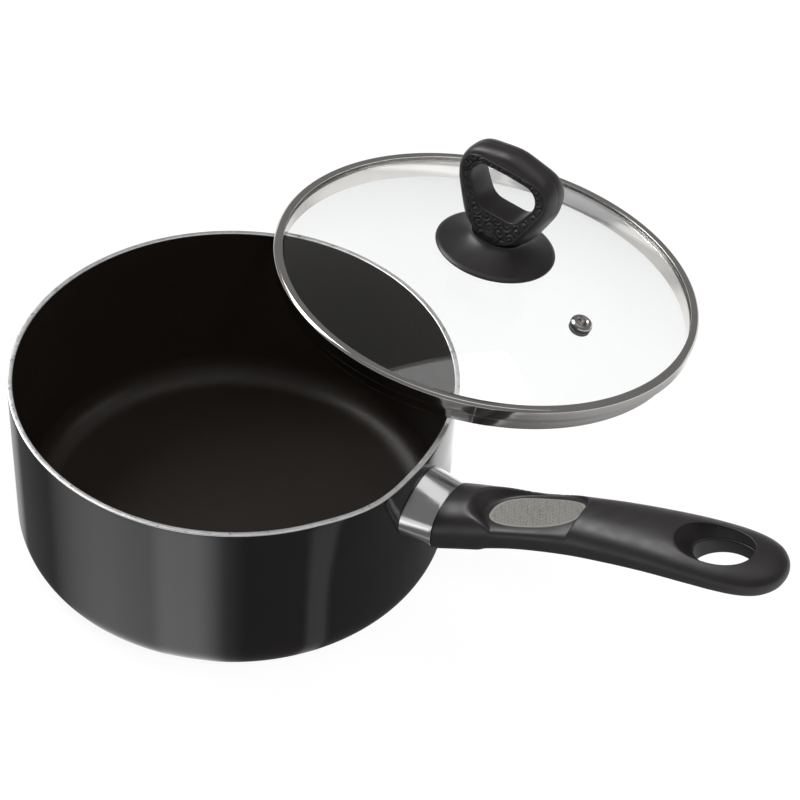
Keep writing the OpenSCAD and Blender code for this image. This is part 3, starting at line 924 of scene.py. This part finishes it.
def make_eyelet():
    t = -GLASS_T
    path = rounded([
        (2.4, 1.75, 0.3), (3.0, 2.5, 0.5), (4.3, 2.45, 0.6), (5.2, 1.6, 0.5), (5.2, 0.75, 0.15),
        (3.35, 0.72, 0.1), (3.3, t - 0.55, 0.1), (5.0, t - 0.6, 0.15), (4.9, t - 1.15, 0.25),
        (2.75, t - 1.15, 0.3), (2.4, t - 0.5, 0.3),
    ], 4, True)
    shell = Shell()
    shell.grid(lathe(np.vstack([path, path[:1]]), turn_steps(64)), wrap_v=True)
    # A small bar across the opening keeps the steam hole from closing
    bar = turn_steps(16)
    rows = []
    for x in np.linspace(-2.5, 2.5, 17):
        sag = 0.5 * (1 - (x / 2.5) ** 2)
        rows.append(np.stack([x + 0 * bar, 0.55 * np.cos(bar), 0.7 - sag + 0.45 * np.sin(bar)], axis=1))
    caps = [rows[0].mean(0) + (rows[0] - rows[0].mean(0)) * 0, *rows, rows[-1].mean(0) + 0 * rows[-1]]
    shell.grid(caps, wrap_v=True)
    shell.build(
        "vent_ring", [EYELET], "lid", ["vent_eyelet"], dome_frame(VENT_TURN, VENT_AT)
    )


make_eyelet()


def make_knob_base():
    skirt = [
        (13.4 + 15.9 * (1 - t) ** 1.7, DOME_H + 1.5 + 7.5 * t) for t in np.linspace(0.0, 1.0, 26)
    ]
    corners = (
        [(3, DOME_H + 1, 0), (9, DOME_H + 1, 0.2), (9.2, DOME_H + 4.6, 0.4), (13, DOME_H + 4.2, 0.8)]
        + [(28, DOME_H - 0.25, 0.3), (29.2, DOME_H - 0.1, 0.45), (29.5, DOME_H + 0.8, 0.5)]
        + [(x, z, 0.0) for x, z in skirt[1:-1]]
        + [(13.4, DOME_H + 9, 0.45), (12.4, DOME_H + 9, 0.3), (12.3, DOME_H + 7.6, 0.2), (3, DOME_H + 7.6, 0)]
    )
    path = fill_in(rounded(corners, 5), 1.5)
    path = np.vstack([path, path[:1]])
    shell = Shell()
    shell.grid(lathe(path, turn_steps(144)), wrap_v=True)
    shell.build("knob_skirt", [KNOB], "lid", ["knob_base"], LID)


make_knob_base()

KNOB_TURN = math.radians(-40)


def hull_radius(circles, centre, angles):
    """How far the rounded outline round some circles reaches from a centre, at each angle."""
    pts = []
    for x, y, r in circles:
        t = turn_steps(240)
        pts += list(zip(x + r * np.cos(t), y + r * np.sin(t)))
    pts = sorted(set((round(float(x), 6), round(float(y), 6)) for x, y in pts))

    def chain(seq):
        out = []
        for p in seq:
            while len(out) > 1 and (
                (out[-1][0] - out[-2][0]) * (p[1] - out[-2][1])
                - (out[-1][1] - out[-2][1]) * (p[0] - out[-2][0])
            ) <= 0:
                out.pop()
            out.append(p)
        return out[:-1]

    hull = spread(np.array(chain(pts) + chain(pts[::-1])), 4000, True) - centre
    angle = np.arctan2(hull[:, 1], hull[:, 0])
    order = np.argsort(angle)
    return np.interp(angles, angle[order], np.hypot(*hull[order].T), period=2 * math.pi)


# Circles, as x, height and radius, whose rounded outlines are the loop's crest, faces and eye
CREST = [
    (-13.4, 55.8, 12.9), (13.4, 55.8, 12.9), (-15.4, 50, 11), (15.4, 50, 11), (-8, 38, 12.6), (8, 38, 12.6),
    (0, 49.2, 22), (0, 36, 12.1),
]
FACE = [(-15.2, 55, 9), (15.2, 55, 9), (-1.8, 37.2, 13.4), (1.8, 37.2, 13.4), (0, 50, 14.3)]
EYE = [(-11.3, 53.3, 7.2), (11.3, 53.3, 7.2), (-6.2, 46.2, 8), (6.2, 46.2, 8), (0, 53.8, 7)]


def make_knob_loop():
    count = 440
    centre = np.array([0.0, 50.0])
    angles = turn_steps(2000)
    r = hull_radius(FACE, centre, angles)
    track = spread(np.stack([r * np.cos(angles), r * np.sin(angles)], axis=1), count, True)
    angles = np.arctan2(track[:, 1], track[:, 0])
    ray = np.stack([np.cos(angles), np.sin(angles)], axis=1)
    radii = []
    for circles in (CREST, FACE, EYE):
        r = hull_radius(circles, centre, angles)
        for _ in range(60):
            r = (np.roll(r, 1) + 2 * r + np.roll(r, -1)) / 4
        radii.append(r)
    crest, face, eye = radii
    deep, edge_r, eye_r, dish = 8.3, 0.4, 0.7, 0.7
    rows, marks = [], []

    def add(radius, depth, mark=0.9):
        plan = centre + ray * np.asarray(radius)[:, None]
        thick = 1 + 0.11 * smooth_step(-plan[:, 1], -56, -26)
        rows.append(np.stack([plan[:, 0], np.asarray(depth) * thick, plan[:, 1]], axis=1))
        marks.append(np.zeros(count) + mark)

    def skin(side):
        wide = face - eye - edge_r - eye_r
        for f in np.linspace(0, 1, 44):
            radius = face - edge_r - wide * f
            plan = centre + ray * radius[:, None]
            near = np.minimum(f, 1 - f) * wide
            inside = smooth_step(near, 0.30, 0.75)
            relief = scroll(plan[:, 0] + 1.3, plan[:, 1] + 0.6, 6.0, 2.3)
            line = np.exp(-(((near - 0.45) / 0.22) ** 2))
            h = inside * (0.26 * relief - 0.12) - 0.25 * line
            sink = dish * smooth_step(f, 0.0, 1.0)
            # The mark paints the scroll's hollows darker, its raised parts lighter and the groove line round
            # the face darker still: painted shade and painted highlight.
            add(radius, -side * (deep + h - sink), 0.9 + inside * (relief - 0.9) - 1.2 * line)

    bend = 2.4
    for t in np.linspace(-math.pi / 2, math.pi / 2, 61):
        d, out = superpoint(1.0, 1.0, bend, t + math.pi / 2)
        line = 0.16 * math.exp(-((t / 0.03) ** 2))
        add(face + (crest - face) * abs(float(out)) - line, (deep - edge_r) * float(d))
    for t in np.linspace(0, math.pi / 2, 5)[1:-1]:
        add(face - edge_r * (1 - math.cos(t)), -(deep - edge_r + edge_r * math.sin(t)))
    skin(1)
    lip = deep - dish
    for t in np.linspace(0, math.pi / 2, 5)[1:]:
        add(eye + eye_r * (1 - math.sin(t)), -(lip - eye_r * (1 - math.cos(t))))
    for d in np.linspace(-(lip - eye_r), lip - eye_r, 17)[1:-1]:
        add(eye - 0.5 * (1 - (d / (lip - eye_r)) ** 2), d)
    for t in np.linspace(math.pi / 2, 0, 5)[:-1]:
        add(eye + eye_r * (1 - math.sin(t)), lip - eye_r * (1 - math.cos(t)))
    back = len(rows)
    skin(-1)
    rows[back:] = rows[back:][::-1]
    marks[back:] = marks[back:][::-1]
    for t in np.linspace(math.pi / 2, 0, 5)[1:-1]:
        add(face - edge_r * (1 - math.cos(t)), deep - edge_r + edge_r * math.sin(t))
    shell = Shell()
    shell.grid(np.array(rows), wrap_u=True, wrap_v=True, mark=np.array(marks))
    neck = fill_in(rounded([
        (0, 23.85, 0), (9.0, 23.85, 0.4), (9.35, 24.4, 0.3), (9.35, 27.0, 2.0), (8.0, 33.0, 2.0),
        (0, 33.5, 0),
    ], 5), 1.0)
    shell.grid(lathe(neck, turn_steps(120)), wrap_v=True, mark=np.full((len(neck), 120), 0.9))
    shell.build("knob_loop", [KNOB], "lid", ["knob_ring"], LID @ rot_z(KNOB_TURN))


make_knob_loop()

# ---------- CAD parts that keep their own shape ----------

KEPT = {
    "weld_studs": ZINC, "stud_nuts": ZINC, "bracket": ZINC, "handle_screw": ZINC,
    "knob_screw": ZINC, "knob_washer": ZINC, "knob_insert": BRASS,
    "vent_seal": SILICONE, "upper_gasket": SILICONE, "lower_gasket": SILICONE,
}
for node, material in KEPT.items():
    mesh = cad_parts[node].data
    mesh.materials.clear()
    mesh.materials.append(material)

# ---------- floor, lights and camera ----------


def studio(x, y, z):
    """A place given across, away from and above the picture, in metres, in the part's frame."""
    c, s = math.cos(VIEW_TURN), math.sin(VIEW_TURN)
    return Vector((c * x - s * y, s * x + c * y, z))


TABLE_GLOW = 0.93  # the table's own brightness


def make_floor():
    n, size = 24, 12.0
    bm = bmesh.new()
    bmesh.ops.create_grid(bm, x_segments=n, y_segments=n, size=size)
    mesh = bpy.data.meshes.new("floor")
    bm.to_mesh(mesh)
    bm.free()
    floor = bpy.data.objects.new("floor", mesh)
    floor.location = (0, 0, -0.0002)
    bpy.context.scene.collection.objects.link(floor)
    look = Look("floor_white", Roughness=0.9, Specular_IOR_Level=0.1)
    look.set("Base Color", look.mix(look.noise(3, 2), (0.07, 0.07, 0.07), (0.08, 0.08, 0.08)))
    look.shader.inputs["Emission Color"].default_value = (1, 1, 1, 1)
    look.shader.inputs["Emission Strength"].default_value = TABLE_GLOW
    mesh.materials.append(look.material)


make_floor()


def softbox(name, at, aim, size, power, mirrored=True):
    data = bpy.data.lights.new(name, "AREA")
    data.shape = "RECTANGLE"
    data.size, data.size_y = size
    data.energy = power
    lamp = bpy.data.objects.new(name, data)
    lamp.location = at
    lamp.rotation_mode = "QUATERNION"
    lamp.rotation_quaternion = (Vector(aim) - Vector(at)).to_track_quat("-Z", "Y")
    lamp.visible_camera = False
    lamp.visible_glossy = mirrored
    bpy.context.scene.collection.objects.link(lamp)
    return lamp


# Painted reflections of upright studio panels round the pan, laid on the table: bearing from the camera's
# side in degrees, half width, soft edge and brightness. Few and broad.
REFLECTED_PANELS = [(-85, 15, 8, 0.5), (-25, 20, 30, 1.2), (-13, 9, 12, 1.8), (22, 3, 3, 0.5), (82, 5, 6, 0.8)]
REFLECTED_STRIP = (72, 12, 6, 1.5)  # a painted reflection of a strip light further out on the right
REFLECTED_SHADE = 0.15  # painted shade in the reflections between the panels, darker than the table


def panel(bearings, middle, half, edge, bright):
    """Brightness of one soft-edged panel at each bearing."""
    return bright * smooth_step(half + edge / 2 - np.abs(bearings - middle), 0, edge)


def glow_patch(name, points, faces, values):
    """A patch of table that only reflections see."""
    mesh = bpy.data.meshes.new(name)
    mesh.from_pydata(points, [], faces)
    mesh.attributes.new("glow", "FLOAT", "POINT").data.foreach_set("value", values)
    patch = bpy.data.objects.new(name, mesh)
    bpy.context.scene.collection.objects.link(patch)
    material = bpy.data.materials.new(name)
    material.use_nodes = True
    tree = material.node_tree
    tree.nodes.clear()
    glow, end = tree.nodes.new("ShaderNodeEmission"), tree.nodes.new("ShaderNodeOutputMaterial")
    level = tree.nodes.new("ShaderNodeAttribute")
    level.attribute_name = "glow"
    tree.links.new(level.outputs["Fac"], glow.inputs[1])
    tree.links.new(glow.outputs[0], end.inputs[0])
    mesh.materials.append(material)
    for way in ("camera", "diffuse", "transmission", "shadow", "volume_scatter"):
        setattr(patch, "visible_" + way, False)


def make_painted_reflections():
    """Painted reflections and painted shade on the table: the wall mirrors the table before it, so each
    upright panel is a spoke that fades into the table.
    """
    bearings = np.arange(-89, 89.5, 1.0)
    near = np.maximum(REFLECTED_SHADE, np.max([panel(bearings, *p) for p in REFLECTED_PANELS], axis=0))
    far = np.maximum(near, panel(bearings, *REFLECTED_STRIP))
    ends = smooth_step(90 - np.abs(bearings), 0, 12)
    steps = [-0.008, 0.03, 0.055, 0.075, 0.105, 0.15, 0.2, 0.26, 0.32]
    east, south, wall = CAMERA_AT[0] * MM, -CAMERA_AT[1] * MM, 0.1035
    away = math.hypot(east, south)
    turn = Matrix.Rotation(math.atan2(east, south), 3, "Z")
    points, values = [], []
    for i, a in enumerate(np.radians(bearings)):
        foot = Vector((math.sin(a), -math.cos(a), 0)) * wall
        b = 2 * a + math.atan2(wall * math.sin(a), away - wall * math.cos(a))
        for r in steps:
            spot = turn @ (foot + Vector((math.sin(b), -math.cos(b), 0)) * r)
            points.append((spot.x, spot.y, 0.0004))
            glow = near[i] + (far[i] - near[i]) * smooth_step(r, 0.04, 0.07)
            kept = float(ends[i] * (1 - smooth_step(r, 0.105, 0.32)))
            values.append(float(TABLE_GLOW + (glow - TABLE_GLOW) * kept))
    n = len(steps)
    faces = [
        (n * i + k, n * i + k + 1, n * i + n + k + 1, n * i + n + k)
        for i in range(len(bearings) - 1) for k in range(n - 1)
    ]
    glow_patch("painted_reflection_spokes", points, faces, values)


make_painted_reflections()

CENTRE = (0.05, 0.05, 0.06)
softbox("key", studio(-0.75, 0.55, 1.05), CENTRE, (0.8, 0.8), 16)
softbox("top", studio(0.35, 0.1, 1.5), CENTRE, (1.2, 1.0), 3.2)
softbox("fill", studio(0.35, 0.1, 1.52), CENTRE, (1.2, 1.0), 7, False)
softbox("front", studio(0.3, -0.95, 1.25), CENTRE, (0.5, 0.35), 12, False)
softbox("right", studio(1.2, -0.1, 0.7), CENTRE, (0.5, 0.8), 5, False)

world = bpy.data.worlds.new("studio")
world.use_nodes = True
world.node_tree.nodes["Background"].inputs[0].default_value = (1, 1, 1, 1)
world.node_tree.nodes["Background"].inputs[1].default_value = 0.22
bpy.context.scene.world = world
bpy.context.scene.view_settings.view_transform = "Standard"


def make_camera():
    data = bpy.data.cameras.new("camera")
    data.lens, data.sensor_width = 125.77, 36.0
    data.clip_start, data.clip_end = 0.05, 60.0
    camera = bpy.data.objects.new("camera", data)
    ahead = Vector((math.sin(YAW) * math.cos(PITCH), math.cos(YAW) * math.cos(PITCH), -math.sin(PITCH)))
    right = Vector((math.cos(YAW), -math.sin(YAW), 0))
    up = right.cross(ahead)
    c, s = math.cos(ROLL), math.sin(ROLL)
    axes = Matrix((c * right + s * up, c * up - s * right, -ahead)).transposed()
    turn = Matrix.Rotation(VIEW_TURN, 4, "Z")
    camera.matrix_world = Matrix.Translation(Vector(CAMERA_AT) * MM) @ turn @ axes.to_4x4()
    bpy.context.scene.collection.objects.link(camera)
    bpy.context.scene.camera = camera


make_camera()
